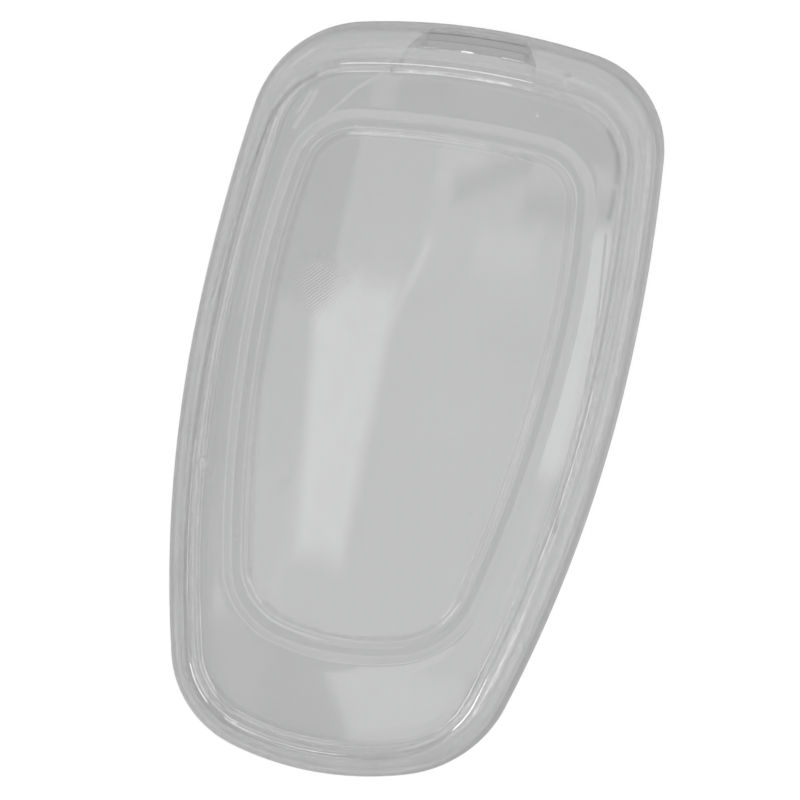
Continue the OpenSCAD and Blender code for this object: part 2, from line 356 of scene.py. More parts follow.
def front_rings(shape):
    """The front shell's rings: from its panel down the outside and up the inside."""
    body, wall, panel, closure = shape.body, shape.wall, shape.panel, shape.closure
    rings = [shape.panel_ring(-out, height) for out, height in rim_profile(panel)]

    rise = body.cover_height - body.seam_height
    outer_radius = radius_for_lean(rise, wall.front_edge, wall.front_lean)
    outer = wall_profile(outer_radius, wall.front_lean, wall.front_edge, SIDE_STEPS, EDGE_STEPS)
    side = [shape.side_ring(inset, up / rise, 0) for inset, up in reversed(outer)]
    rings += shape.face_rings(rings[-1], side[0], FACE_STEPS, 0)
    rings += side[:-1]

    seam = body.seam_height
    skirt = wall.side_wall - closure.lip_thickness - closure.lip_gap
    inner_radius = outer_radius - wall.side_wall
    top = closure.lip_height + closure.lip_gap
    ledge = wall.side_wall + inner_radius - math.sqrt(inner_radius**2 - top**2)
    middle = seam + closure.lip_height / 2
    half_bead = closure.bead_width / 2
    section = [
        (0, seam + wall.soft_edge * 2),
        (0, seam),
        (skirt, seam),
        (skirt, middle - half_bead),
        (skirt - closure.bead_height, middle),
        (skirt, middle + half_bead),
        (skirt, seam + top),
        (ledge, seam + top),
    ]
    section = soft_corners(section, wall.soft_edge)
    rings += [shape.level_ring(inset, 0, height) for inset, height in section]

    inner_rise = rise - wall.front_wall
    inner = inner_profile(inner_radius, inner_rise, wall.inner_fillet, SIDE_STEPS, FILLET_STEPS)
    for inset, up in inner:
        if up > top + wall.soft_edge:
            inset += wall.side_wall
            rings.append(shape.side_ring(inset, up / inner_rise, wall.front_wall))
    relief = []
    for k in range(RELIEF_STEPS + 1):
        t = k / RELIEF_STEPS
        lift = panel.relief * smooth(t) - wall.front_wall
        relief.append(shape.panel_ring(panel.rim_width * RELIEF_SHARE * t, lift))
    rings += shape.face_rings(rings[-1], relief[0], FACE_STEPS, -wall.front_wall)
    return rings + relief


def rear_rings(shape):
    """The rear shell's rings: from its floor up the inside and down the outside."""
    body, wall, closure = shape.body, shape.wall, shape.closure
    seam = body.seam_height
    outer_radius = radius_for_lean(seam, wall.rear_edge, wall.rear_lean)
    inner_radius = outer_radius - wall.side_wall
    inner_rise = seam - wall.rear_wall
    inner = inner_profile(inner_radius, inner_rise, wall.inner_fillet, SIDE_STEPS, FILLET_STEPS)
    rings = []
    for inset, down in reversed(inner):
        end_inset = body.end_wall_slope * down / seam
        rings.append(shape.level_ring(wall.side_wall + inset, end_inset, seam - down))

    lip = wall.side_wall - closure.lip_thickness
    middle = seam + closure.lip_height / 2
    half_bead = closure.bead_width / 2
    lip_top = seam + closure.lip_height
    section = [
        (wall.side_wall, seam + wall.soft_edge),
        (wall.side_wall, lip_top),
        (lip, lip_top),
        (lip, middle + half_bead),
        (lip - closure.bead_height, middle),
        (lip, middle - half_bead),
        (lip, seam),
        (0, seam),
        (0, seam - wall.soft_edge * 2),
    ]
    section = soft_corners(section, wall.soft_edge)
    rings += [shape.level_ring(inset, 0, height) for inset, height in section]

    outer = wall_profile(outer_radius, wall.rear_lean, wall.rear_edge, SIDE_STEPS, EDGE_STEPS)
    for inset, down in outer:
        if down > wall.soft_edge * 2:
            end_inset = body.end_wall_slope * down / seam
            rings.append(shape.level_ring(inset, end_inset, seam - down))
    return rings


# Modelling

# Digits to which two points count as one, and how near the points are that are welded, in metres
PLACE_DIGITS, WELD_REACH = 7, 1e-6


def deselect_all():
    """Nothing is selected, so that an operator acts on the new piece alone."""
    bpy.ops.object.select_all(action="DESELECT")


def shell_from_rings(name, rings):
    """A shell open at both ends: a circle laid on the first ring and extruded from ring to ring."""
    deselect_all()
    count = len(rings[0])
    bpy.ops.mesh.primitive_circle_add(vertices=count, radius=rings[0][0].length)
    piece = bpy.context.active_object
    piece.name = piece.data.name = name
    bpy.ops.object.mode_set(mode="EDIT")
    mesh = bmesh.from_edit_mesh(piece.data)
    number = mesh.verts.layers.int.new("place on the ring")
    for vertex, point in zip(mesh.verts, rings[0]):
        vertex.co = point
    for i, vertex in enumerate(mesh.verts):
        vertex[number] = i
    for ring in rings[1:]:
        bpy.ops.mesh.extrude_edges_move()
        mesh = bmesh.from_edit_mesh(piece.data)
        mesh.verts.ensure_lookup_table()
        number = mesh.verts.layers.int["place on the ring"]
        for vertex in mesh.verts[-count:]:
            vertex.co = ring[vertex[number]]
        bmesh.update_edit_mesh(piece.data)
    return piece


def close_with_grid(piece, ring, across):
    """Closes the open edge that lies on a ring with a grid of faces."""
    mesh = bmesh.from_edit_mesh(piece.data)
    bpy.ops.mesh.select_all(action="DESELECT")
    mesh.verts.ensure_lookup_table()
    here = {tuple(round(c, PLACE_DIGITS) for c in point) for point in ring}
    for edge in mesh.edges:
        ends = [tuple(round(c, PLACE_DIGITS) for c in v.co) for v in edge.verts]
        if edge.is_boundary and all(end in here for end in ends):
            edge.select = True
    mesh.select_flush_mode()
    bmesh.update_edit_mesh(piece.data)
    bpy.ops.mesh.fill_grid(span=across, use_interp_simple=False)


def finish_shell(piece):
    """Welds the shell and points its faces outwards."""
    bpy.ops.mesh.select_all(action="SELECT")
    bpy.ops.mesh.remove_doubles(threshold=WELD_REACH)
    bpy.ops.mesh.normals_make_consistent(inside=False)
    bpy.ops.object.mode_set(mode="OBJECT")


def activate(piece):
    """Selects one piece alone."""
    deselect_all()
    piece.select_set(True)
    bpy.context.view_layer.objects.active = piece


CUTTER_DEPTH, SLOT_CORNER_STEPS = 12 * MM, 8


def slot_cutter(shape):
    """A block that stands across the wide end wall, narrower below, with round corners."""
    closure = shape.closure
    deselect_all()
    sill = shape.body.seam_height + closure.slot_sill
    middle = Vector((closure.slot_offset, shape.body.cover_length / 2, sill + closure.slot_height / 2))
    bpy.ops.mesh.primitive_cube_add(size=1, location=middle)
    cutter = bpy.context.active_object
    cutter.name = "slot_cutter"
    cutter.scale = (closure.slot_width, CUTTER_DEPTH, closure.slot_height)
    bpy.ops.object.transform_apply(location=True, rotation=True, scale=True)
    bpy.ops.object.mode_set(mode="EDIT")
    mesh = bmesh.from_edit_mesh(cutter.data)
    for vertex in mesh.verts:
        if vertex.co.z < middle.z:
            vertex.co.x -= math.copysign(closure.slot_taper, vertex.co.x - middle.x)
    bmesh.update_edit_mesh(cutter.data)
    lean = math.atan(closure.slot_taper / closure.slot_height)
    for upper in (True, False):
        bpy.ops.mesh.select_all(action="DESELECT")
        mesh = bmesh.from_edit_mesh(cutter.data)
        for edge in mesh.edges:
            a, b = (v.co for v in edge.verts)
            along = abs(a.y - b.y) > CUTTER_DEPTH / 2
            edge.select = along and (a.z > middle.z) == upper
        mesh.select_flush_mode()
        bmesh.update_edit_mesh(cutter.data)
        corner = math.pi / 2 - lean if upper else math.pi / 2 + lean
        reach = closure.slot_corner / math.tan(corner / 2)
        bpy.ops.mesh.bevel(offset=reach, segments=SLOT_CORNER_STEPS, affect="EDGES")
    bpy.ops.object.mode_set(mode="OBJECT")
    return cutter


def cut(piece, cutter):
    """Takes the cutter out of a piece and removes the cutter."""
    activate(piece)
    modifier = piece.modifiers.new("key ring slot", "BOOLEAN")
    modifier.operation = "DIFFERENCE"
    modifier.solver = "EXACT"
    modifier.object = cutter
    bpy.ops.object.modifier_apply(modifier=modifier.name)
    bpy.data.objects.remove(cutter)


# Rounding of the slot's edges, and how far the lip stands out of the wall and over what height
SLOT_EDGE, SLOT_EDGE_STEPS = 0.13 * MM, 2
SLOT_LIP, SLOT_LIP_BAND, SLOT_LIP_RISE_SHARE = 0.13 * MM, 0.7 * MM, 2 / 3

# Where the slot's edges are looked for, and how the faces on both sides of them lie
SLOT_SPARE, SLOT_SPARE_HEIGHT, END_WALL_SHARE = MM, 0.1 * MM, 0.8
CUT_FACE_TILT, WALL_FACE_TILT = 0.01, 0.2


def soften_slot(piece, shape):
    """Rounds the slot's edges where it comes out of the wall, and raises a fine lip over it."""
    closure = shape.closure
    end_wall = END_WALL_SHARE * shape.body.cover_length / 2
    bpy.ops.object.mode_set(mode="EDIT")
    mesh = bmesh.from_edit_mesh(piece.data)
    bpy.ops.mesh.select_all(action="DESELECT")
    sill = shape.body.seam_height + closure.slot_sill
    for edge in mesh.edges:
        a, b = (v.co for v in edge.verts)
        near = all(
            abs(p.x - closure.slot_offset) < closure.slot_width / 2 + SLOT_SPARE
            and p.y > end_wall
            and -SLOT_SPARE_HEIGHT < p.z - sill < closure.slot_height + SLOT_SPARE_HEIGHT
            for p in (a, b)
        )
        if near and len(edge.link_faces) == 2:
            across = [abs(face.normal.y) < CUT_FACE_TILT for face in edge.link_faces]
            edge.select = across[0] != across[1]
    mesh.select_flush_mode()
    bmesh.update_edit_mesh(piece.data)
    bpy.ops.mesh.bevel(
        offset=SLOT_EDGE, segments=SLOT_EDGE_STEPS, affect="EDGES", clamp_overlap=False
    )
    mesh = bmesh.from_edit_mesh(piece.data)
    mesh.normal_update()
    lip_start = sill + closure.slot_height - SLOT_LIP_BAND
    for vertex in mesh.verts:
        inside = vertex.select and all(face.select for face in vertex.link_faces)
        if inside and vertex.normal.y > WALL_FACE_TILT and vertex.co.z > lip_start:
            share = (vertex.co.z - lip_start) / SLOT_LIP_BAND / SLOT_LIP_RISE_SHARE
            vertex.co.y += SLOT_LIP * smooth(min(1, share))
    bmesh.update_edit_mesh(piece.data)
    bpy.ops.mesh.select_all(action="SELECT")
    bpy.ops.mesh.remove_doubles(threshold=WELD_REACH)
    bpy.ops.object.mode_set(mode="OBJECT")


# Materials

FLAT = (1, 1, 0)
WHITE = (1, 1, 1, 1)


def put(tree, kind, inputs=None, **settings):
    """A node with its settings, and its inputs set or linked."""
    node = tree.nodes.new(kind)
    for name, value in settings.items():
        setattr(node, name, value)
    for name, value in (inputs or {}).items():
        if isinstance(value, bpy.types.NodeSocket):
            tree.links.new(value, node.inputs[name])
        else:
            node.inputs[name].default_value = value
    return node


def sum_of(tree, operation, *values):
    """The result of a Math node."""
    return put(tree, "ShaderNodeMath", dict(enumerate(values)), operation=operation).outputs[0]


def vector_of(tree, operation, *values):
    """The result of a Vector Math node, a number where it gives one."""
    node = put(tree, "ShaderNodeVectorMath", dict(enumerate(values)), operation=operation)
    return node.outputs["Value" if operation in ("DISTANCE", "DOT_PRODUCT", "LENGTH") else "Vector"]


def scaled(tree, vector, scale):
    """A vector times a number."""
    return put(tree, "ShaderNodeVectorMath", {0: vector, "Scale": scale}, operation="SCALE").outputs[0]


def turned_by(tree, vector, angle):
    """A vector turned round the upright axis."""
    inputs = {"Vector": vector, "Angle": angle}
    return put(tree, "ShaderNodeVectorRotate", inputs, rotation_type="Z_AXIS").outputs[0]


def axes_of(tree, vector):
    """The X, Y and Z of a vector."""
    return put(tree, "ShaderNodeSeparateXYZ", {0: vector}).outputs


def mixed(tree, share, first, second):
    """A mix of two shaders."""
    return put(tree, "ShaderNodeMixShader", {"Fac": share, 1: first, 2: second}).outputs[0]


def step_of(tree, value, near, far, near_result, far_result):
    """A smooth step between two results."""
    inputs = {
        "Value": value,
        "From Min": near,
        "From Max": far,
        "To Min": near_result,
        "To Max": far_result,
    }
    return put(tree, "ShaderNodeMapRange", inputs, interpolation_type="SMOOTHSTEP").outputs[0]


def new_group(name, inputs, outputs):
    """An empty node group with its sockets."""
    group = bpy.data.node_groups.new(name, "ShaderNodeTree")
    for way, sockets in (("INPUT", inputs), ("OUTPUT", outputs)):
        for label, kind in sockets.items():
            group.interface.new_socket(label, in_out=way, socket_type="NodeSocket" + kind)
    return group, group.nodes.new("NodeGroupInput").outputs, group.nodes.new("NodeGroupOutput").inputs


def node_group(name, maker):
    """A node group, made once."""
    return bpy.data.node_groups.get(name) or maker()


# Sizes of the skin's patterns, and heights and depths, in millimetres
RIPPLE_SIZE, GRAIN_SIZE, HAZE_SIZE, SHADE_SIZE = 9, 0.5, 6, 13
RIPPLE_HEIGHT, GRAIN_HEIGHT, SCRATCH_DEPTH = 0.005, 0.0003, 0.0006
SCRATCH_TURN, SCRATCH_STRETCH, SCRATCH_BAND = math.radians(34), (0.25, 7, 1), (0.7, 0.76)
NOISE_BAND = (0.3, 0.7)
SMOOTHEST, HAZIEST, SCRATCH_ROUGHNESS, DARKEST_SHADE = 0.022, 0.045, 0.08, 0.975


def moulded_skin_group():
    """Slow ripples, a fine grain and scratches: heights in millimetres, roughness and shade."""
    outputs = {"Height": "Float", "Roughness": "Float", "Shade": "Float"}
    group, given, result = new_group("moulded skin", {"Place": "Vector"}, outputs)

    def noise(place, size, detail):
        inputs = {"Vector": place, "Scale": 1 / size, "Detail": detail}
        return put(group, "ShaderNodeTexNoise", inputs).outputs["Fac"]

    ripple = noise(given["Place"], RIPPLE_SIZE, 1)
    grain = noise(given["Place"], GRAIN_SIZE, 2)
    haze = noise(given["Place"], HAZE_SIZE, 2)
    cloud = noise(given["Place"], SHADE_SIZE, 2)
    turned = turned_by(group, given["Place"], SCRATCH_TURN)
    scratch = noise(vector_of(group, "MULTIPLY", turned, SCRATCH_STRETCH), 1, 2)
    scratch = step_of(group, scratch, *SCRATCH_BAND, 0, 1)
    height = sum_of(group, "MULTIPLY", ripple, RIPPLE_HEIGHT)
    height = sum_of(group, "MULTIPLY_ADD", grain, GRAIN_HEIGHT, height)
    height = sum_of(group, "MULTIPLY_ADD", scratch, -SCRATCH_DEPTH, height)
    rough = step_of(group, haze, *NOISE_BAND, SMOOTHEST, HAZIEST)
    rough = sum_of(group, "MULTIPLY_ADD", scratch, SCRATCH_ROUGHNESS, rough)
    group.links.new(height, result["Height"])
    group.links.new(rough, result["Roughness"])
    group.links.new(step_of(group, cloud, *NOISE_BAND, DARKEST_SHADE, 1), result["Shade"])
    return group


# The dots of the panel: pitch and height in millimetres, and shares of the pitch where the height
# falls from full to nothing
DOT_PITCH, DOT_HEIGHT, DOT_TURN, DOT_EDGE_SHARES = 0.29, 0.0022, math.radians(42), (0.12, 0.45)
DOT_PATCH_SCALE, DOT_PATCH_BAND, WEAKEST_DOT_SHARE = 0.3, (0.3, 0.6), 0.5


def dot_grid_group():
    """A grid of tiny round dots that comes and goes in patches: heights in millimetres."""
    inputs = {"Place": "Vector", "Pitch": "Float", "Turn": "Float", "Dot Height": "Float"}
    group, given, result = new_group("dot grid", inputs, {"Height": "Float"})
    turned = turned_by(group, given["Place"], given["Turn"])
    cells = scaled(group, turned, sum_of(group, "DIVIDE", 1, given["Pitch"]))
    inside = vector_of(group, "FRACTION", cells)
    inside = vector_of(group, "SUBTRACT", inside, (0.5, 0.5, 0.5))
    flat = vector_of(group, "MULTIPLY", inside, FLAT)
    dots = step_of(group, vector_of(group, "LENGTH", flat), *DOT_EDGE_SHARES, 1, 0)
    inputs = {"Vector": given["Place"], "Scale": DOT_PATCH_SCALE, "Detail": 1}
    patches = put(group, "ShaderNodeTexNoise", inputs).outputs["Fac"]
    strength = step_of(group, patches, *DOT_PATCH_BAND, WEAKEST_DOT_SHARE, 1)
    height = sum_of(group, "MULTIPLY", sum_of(group, "MULTIPLY", dots, strength), given["Dot Height"])
    group.links.new(height, result["Height"])
    return group


# Millimetres past the line between which an arc fades in
ARC_END_FADE = (-0.15, 0.2)


def ring_mark_group():
    """A disc or a ring round a point, or the arc of one that lies past a line: a mask."""
    inputs = {
        "Place": "Vector",
        "Middle": "Vector",
        "Radius": "Float",
        "Width": "Float",
        "Side": "Vector",
        "Past": "Float",
    }
    group, given, result = new_group("ring mark", inputs, {"Mask": "Float"})
    apart = vector_of(group, "SUBTRACT", given["Place"], given["Middle"])
    apart = vector_of(group, "MULTIPLY", apart, FLAT)
    off = sum_of(group, "SUBTRACT", vector_of(group, "LENGTH", apart), given["Radius"])
    mask = step_of(group, sum_of(group, "ABSOLUTE", off), 0, given["Width"], 1, 0)
    towards = vector_of(group, "DOT_PRODUCT", apart, given["Side"])
    towards = sum_of(group, "SUBTRACT", towards, given["Past"])
    side = step_of(group, towards, *ARC_END_FADE, 0, 1)
    whole = sum_of(group, "SUBTRACT", 1, vector_of(group, "LENGTH", given["Side"]))
    side = sum_of(group, "MAXIMUM", side, whole)
    group.links.new(sum_of(group, "MULTIPLY", mask, side), result["Mask"])
    return group


def line_mark_group():
    """A straight stroke from a start along a span: a mask."""
    inputs = {"Place": "Vector", "Start": "Vector", "Span": "Vector", "Width": "Float"}
    group, given, result = new_group("line mark", inputs, {"Mask": "Float"})
    span = given["Span"]
    apart = vector_of(group, "SUBTRACT", given["Place"], given["Start"])
    apart = vector_of(group, "MULTIPLY", apart, FLAT)
    along = vector_of(group, "DOT_PRODUCT", apart, span)
    share = sum_of(group, "DIVIDE", along, vector_of(group, "DOT_PRODUCT", span, span))
    share = put(group, "ShaderNodeClamp", {"Value": share}).outputs[0]
    off = vector_of(group, "SUBTRACT", apart, scaled(group, span, share))
    off = vector_of(group, "LENGTH", off)
    group.links.new(step_of(group, off, 0, given["Width"], 1, 0), result["Mask"])
    return group


# Small marks of the moulding, in millimetres on the front's plan


def ring_mark(middle, radius, width, height, side=(0, 0), past=0):
    """A ring round a point, or the arc of it that lies past a line on one side."""
    inputs = {
        "Middle": (*middle, 0),
        "Radius": radius,
        "Width": width,
        "Side": (*side, 0),
        "Past": past,
    }
    return "ring mark", inputs, height


def spot(middle, width, height):
    """A small round spot."""
    return ring_mark(middle, 0, width, height)


def strokes(points, width, height):
    """Straight strokes from point to point."""
    lines = []
    for (x, y), (next_x, next_y) in zip(points, points[1:]):
        inputs = {"Start": (x, y, 0), "Span": (next_x - x, next_y - y, 0), "Width": width}
        lines.append(("line mark", inputs, height))
    return lines


def moulding_marks():
    """Gate mark, scratches, pips and fine raised lines: heights in millimetres."""
    return (
        spot((-18.2, -9.3), 0.5, 0.05),
        ring_mark((-18.2, -9.3), 0.45, 0.12, 0.04),
        ring_mark((-17.7, -10.3), 1.1, 0.1, 0.02, (0.7, 0.7)),
        ring_mark((-9.6, -8.4), 0.9, 0.09, 0.006, (1, 0)),
        spot((6.1, 39.3), 0.5, 0.1),
        spot((10.1, 37.4), 0.45, 0.2),
        spot((8.3, 33.9), 0.36, 0.14),
        spot((-7.4, 35.1), 0.4, 0.16),
        *strokes(((-17.2, 15.5), (-17.4, 11.5), (-17.5, 7.2)), 0.14, 0.055),
        *strokes(((17.7, 23.5), (18.9, 14), (19.2, 7), (18.7, -8)), 0.14, 0.05),
        *strokes(((-7.3, 35.2), (-10.2, 32.7), (-12.7, 29.4)), 0.17, 0.025),
        *strokes(((-14.4, 31.4), (-15.0, 29.4), (-15.9, 27.2)), 0.22, 0.02),
        *strokes(((-14.9, 31.2), (-15.8, 28.8)), 0.16, 0.02),
        *strokes(((10, 36.3), (11.8, 35.9), (13.3, 35.3)), 0.13, 0.02),
    )


def dark_specks_and_painted_shade():
    """Dark flecks of dirt, a painted dark reflection along the front edge on the right and a painted
    shadow in the gap by the lip on the left: how dark, as a share.
    """
    return (
        # Dark flecks of dirt
        spot((10.5, -8.0), 0.16, 0.6),
        spot((10.7, -10.4), 0.14, 0.5),
        spot((-5.9, -21.8), 0.16, 0.6),
        # Painted dark reflection along the front edge on the right
        *strokes(((15.6, 33.8), (16.6, 32.3)), 0.5, 0.34),
        *strokes(((16.9, 31.9), (17.3, 30.4), (17.5, 28.9)), 0.55, 0.38),
        *strokes(((17.5, 28.1), (17.6, 26.7), (17.6, 25.2)), 0.4, 0.36),
        # Painted shadow in the gap between the front's skirt and the rear's lip, down the left side
        *strokes(((-14.8, 32.8), (-16.3, 31.7), (-17.4, 30.2), (-18.4, 28.2)), 0.42, 0.6),
        *strokes(((-18.4, 28.2), (-20, 19.5), (-20.5, 13.6), (-20.8, 7.7)), 0.25, 0.5),
    )


def dot_patches():
    """Where the panel's dots stand out, as a share of their height."""
    return spot((-11.2, 11.9), 4.2, 1), spot((-4.9, 8.5), 3.6, 0.3)


def marks_of(tree, place, marks):
    """The highest of several marks."""
    total = 0.0
    for kind, inputs, height in marks:
        maker = ring_mark_group if kind == "ring mark" else line_mark_group
        mark = put(tree, "ShaderNodeGroup", node_tree=node_group(kind, maker))
        tree.links.new(place, mark.inputs["Place"])
        for name, value in inputs.items():
            mark.inputs[name].default_value = value
        raised = sum_of(tree, "MULTIPLY", mark.outputs["Mask"], height)
        total = sum_of(tree, "MAXIMUM", raised, total)
    return total


# Where the panel's faint dots lie in millimetres from its middle, full as far as the first number
DOT_MIDDLE, DOT_ACROSS, DOT_ALONG, FAINT_DOT_SHARE = (0, 2.6, 0), (9, 11), (20, 23), 0.03


def panel_dots(tree, place):
    """Heights of the panel's dots, faint all over it and stronger in two patches."""
    dots = put(tree, "ShaderNodeGroup", node_tree=node_group("dot grid", dot_grid_group))
    tree.links.new(place, dots.inputs["Place"])
    dots.inputs["Pitch"].default_value = DOT_PITCH
    dots.inputs["Turn"].default_value = DOT_TURN
    dots.inputs["Dot Height"].default_value = DOT_HEIGHT
    away = vector_of(tree, "SUBTRACT", place, DOT_MIDDLE)
    away = axes_of(tree, vector_of(tree, "ABSOLUTE", away))
    faint = step_of(tree, away["X"], *DOT_ACROSS, FAINT_DOT_SHARE, 0)
    faint = sum_of(tree, "MULTIPLY", faint, step_of(tree, away["Y"], *DOT_ALONG, 1, 0))
    strength = sum_of(tree, "ADD", faint, marks_of(tree, place, dot_patches()))
    return sum_of(tree, "MULTIPLY", dots.outputs["Height"], strength)


CLEARNESS, COAT_ROUGHNESS, COAT_BEND = 0.93, 0.03, 2.0
# Painted shade along the parting line, where the shells meet, and millimetres from it between which
# that fades
MEETING_SHADE, MEETING_BAND = 0.9, (0.1, 0.2)


def clear_plastic(name, tint, bend, unbent, coat, seam, marked):
    """Clear plastic, a little hazy, with painted shade where the shells meet. Lamps reach what is
    behind it.
    """
    material = bpy.data.materials.new(name)
    material.use_nodes = True
    tree = material.node_tree
    tree.nodes.clear()
    place = put(tree, "ShaderNodeTexCoord").outputs["Object"]
    place = vector_of(tree, "MULTIPLY", place, (1 / MM, 1 / MM, 1 / MM))
    skin = put(tree, "ShaderNodeGroup", node_tree=node_group("moulded skin", moulded_skin_group))
    tree.links.new(place, skin.inputs["Place"])
    height = skin.outputs["Height"]
    shade = skin.outputs["Shade"]
    if marked:
        height = sum_of(tree, "ADD", height, panel_dots(tree, place))
        height = sum_of(tree, "ADD", height, marks_of(tree, place, moulding_marks()))
        # Darker at the dirt flecks, along the painted dark reflection and along the painted shadow
        # line
        shade = sum_of(tree, "SUBTRACT", shade, marks_of(tree, place, dark_specks_and_painted_shade()))
    # Painted shade: the colour darkens within a band round the parting line
    level = sum_of(tree, "SUBTRACT", axes_of(tree, place)["Z"], seam / MM)
    level = sum_of(tree, "ABSOLUTE", level)
    parting_painted_shade = step_of(tree, level, *MEETING_BAND, MEETING_SHADE, 1)
    shade = sum_of(tree, "MULTIPLY", shade, parting_painted_shade)
    bump = put(tree, "ShaderNodeBump", {"Height": height, "Distance": MM, "Strength": 1})
    plastic = put(
        tree,
        "ShaderNodeBsdfPrincipled",
        {
            "Base Color": scaled(tree, tint, shade),
            "Roughness": skin.outputs["Roughness"],
            "IOR": bend,
            "Transmission Weight": CLEARNESS,
            "Coat Weight": coat,
            "Coat Roughness": COAT_ROUGHNESS,
            "Coat IOR": COAT_BEND,
            "Normal": bump.outputs["Normal"],
            "Coat Normal": bump.outputs["Normal"],
        },
    ).outputs["BSDF"]
    # A lamp's light crosses two faces of a wall, so each face passes the root of the tint
    passing = (*(c**0.5 for c in tint), 1)
    passed = put(tree, "ShaderNodeBsdfTransparent", {"Color": passing}).outputs["BSDF"]
    shadow = put(tree, "ShaderNodeLightPath").outputs["Is Shadow Ray"]
    surface = mixed(tree, shadow, mixed(tree, unbent, plastic, passed), passed)
    put(tree, "ShaderNodeOutputMaterial", {"Surface": surface})
    return material


# Stage: where a direction lies in the sky is its lean from straight up, across and along

FLOOR_CLOUD_SCALE, FLOOR_ROUGHNESS = 30, (0.6, 1)
FLOOR_WHITE, FLOOR_SEEN_SHARE, FLOOR_GLOSS_SHARE = 1.04, 0.88, 0.85

# The floor's grey in the gloss brightens across it, along a direction and over a span in metres
FLOOR_ACROSS, FLOOR_GLOSS_SPAN, FLOOR_GLOSS = (0.7, 0.7, 0), (-0.04, 0.04), (0.34, 0.62)


def floor_material(tint):
    """White floor that keeps a soft shadow, white through the plastic and grey in its gloss."""
    material = bpy.data.materials.new("pale floor")
    material.use_nodes = True
    tree = material.node_tree
    tree.nodes.clear()
    place = put(tree, "ShaderNodeTexCoord").outputs["Object"]
    inputs = {"Vector": place, "Scale": FLOOR_CLOUD_SCALE, "Detail": 2}
    cloud = put(tree, "ShaderNodeTexNoise", inputs).outputs["Fac"]
    rough = step_of(tree, cloud, *NOISE_BAND, *FLOOR_ROUGHNESS)
    matt = put(tree, "ShaderNodeBsdfDiffuse", {"Color": (*tint, 1), "Roughness": rough}).outputs[0]
    white = put(tree, "ShaderNodeEmission", {"Color": WHITE, "Strength": FLOOR_WHITE}).outputs[0]
    across = vector_of(tree, "DOT_PRODUCT", place, FLOOR_ACROSS)
    gloss = step_of(tree, across, *FLOOR_GLOSS_SPAN, *FLOOR_GLOSS)
    grey = put(tree, "ShaderNodeEmission", {"Color": WHITE, "Strength": gloss}).outputs[0]
    path = put(tree, "ShaderNodeLightPath").outputs
    through = path["Is Transmission Ray"]
    seen = sum_of(tree, "MULTIPLY_ADD", path["Is Camera Ray"], FLOOR_SEEN_SHARE, through)
    mirrored = sum_of(tree, "MULTIPLY", path["Is Glossy Ray"], FLOOR_GLOSS_SHARE)
    surface = mixed(tree, seen, mixed(tree, mirrored, matt, grey), white)
    put(tree, "ShaderNodeOutputMaterial", {"Surface": surface})
    return material


def soft_box_group():
    """A soft-edged patch of the sky, by how far its direction leans from straight up: a mask."""
    inputs = {
        "Lean": "Vector",
        "Middle": "Vector",
        "Half Size": "Vector",
        "Turn": "Float",
        "Softness": "Float",
    }
    group, given, result = new_group("soft box", inputs, {"Mask": "Float"})
    apart = vector_of(group, "SUBTRACT", given["Lean"], given["Middle"])
    apart = vector_of(group, "ABSOLUTE", turned_by(group, apart, given["Turn"]))
    past = axes_of(group, vector_of(group, "SUBTRACT", apart, given["Half Size"]))
    outside = sum_of(group, "MAXIMUM", past["X"], past["Y"])
    inner = sum_of(group, "MULTIPLY", given["Softness"], -1)
    group.links.new(step_of(group, outside, inner, given["Softness"], 1, 0), result["Mask"])
    return group


# How bright the sky is in the plastic's gloss overhead, and how bright it lights the rest
SKY_BASE, SKY_LIGHT, LOWEST_SKY = 0.14, 0.9, 0.05

# Grey rings round the soft boxes: how far they lean from the middle, and how bright they are
RING_MIDDLE = (-0.1, -0.17)
RING_BANDS = ((0.2, 0.0), (0.33, 0.62), (0.62, 0.62), (0.85, 0.05))

# Painted one over another: middle, half size, turn in degrees, softness and brightness
SOFT_BOXES = (
    ("ceiling", (-0.02, -0.165), (0.16, 0.097), 0, 0.005, 0.76),
    ("ceiling left", (-0.205, -0.201), (0.028, 0.061), 0, 0.005, 0.62),
    ("top", (-0.141, -0.094), (0.041, 0.026), 0, 0.004, 0.62),
    ("top sliver", (-0.168, -0.056), (0.013, 0.012), 0, 0.004, 0.5),
    ("top patch", (-0.06, -0.055), (0.045, 0.012), 5, 0.006, 0.24),
    ("top light", (-0.078, -0.078), (0.023, 0.01), 5, 0.005, 0.95),
    ("dark diagonal", (-0.046, -0.08), (0.036, 0.0045), 13, 0.003, 0.25),
    ("dark right", (0.034, -0.086), (0.045, 0.006), 3, 0.006, 0.25),
    ("light right", (-0.018, -0.104), (0.03, 0.008), 3, 0.008, 1.05),
    ("fine streak", (-0.104, -0.125), (0.0025, 0.02), -33, 0.003, 1.35),
    ("strip", (-0.157, -0.178), (0.02, 0.046), 21, 0.008, 1.7),
    ("strip right", (-0.135, -0.179), (0.022, 0.051), 2, 0.008, 1.62),
    ("right side", (0.088, -0.135), (0.027, 0.045), 0, 0.005, 1.6),
    ("low", (-0.035, -0.281), (0.075, 0.02), 0, 0.006, 1.05),
    ("low left", (-0.108, -0.302), (0.03, 0.03), 60, 0.006, 0.14),
)


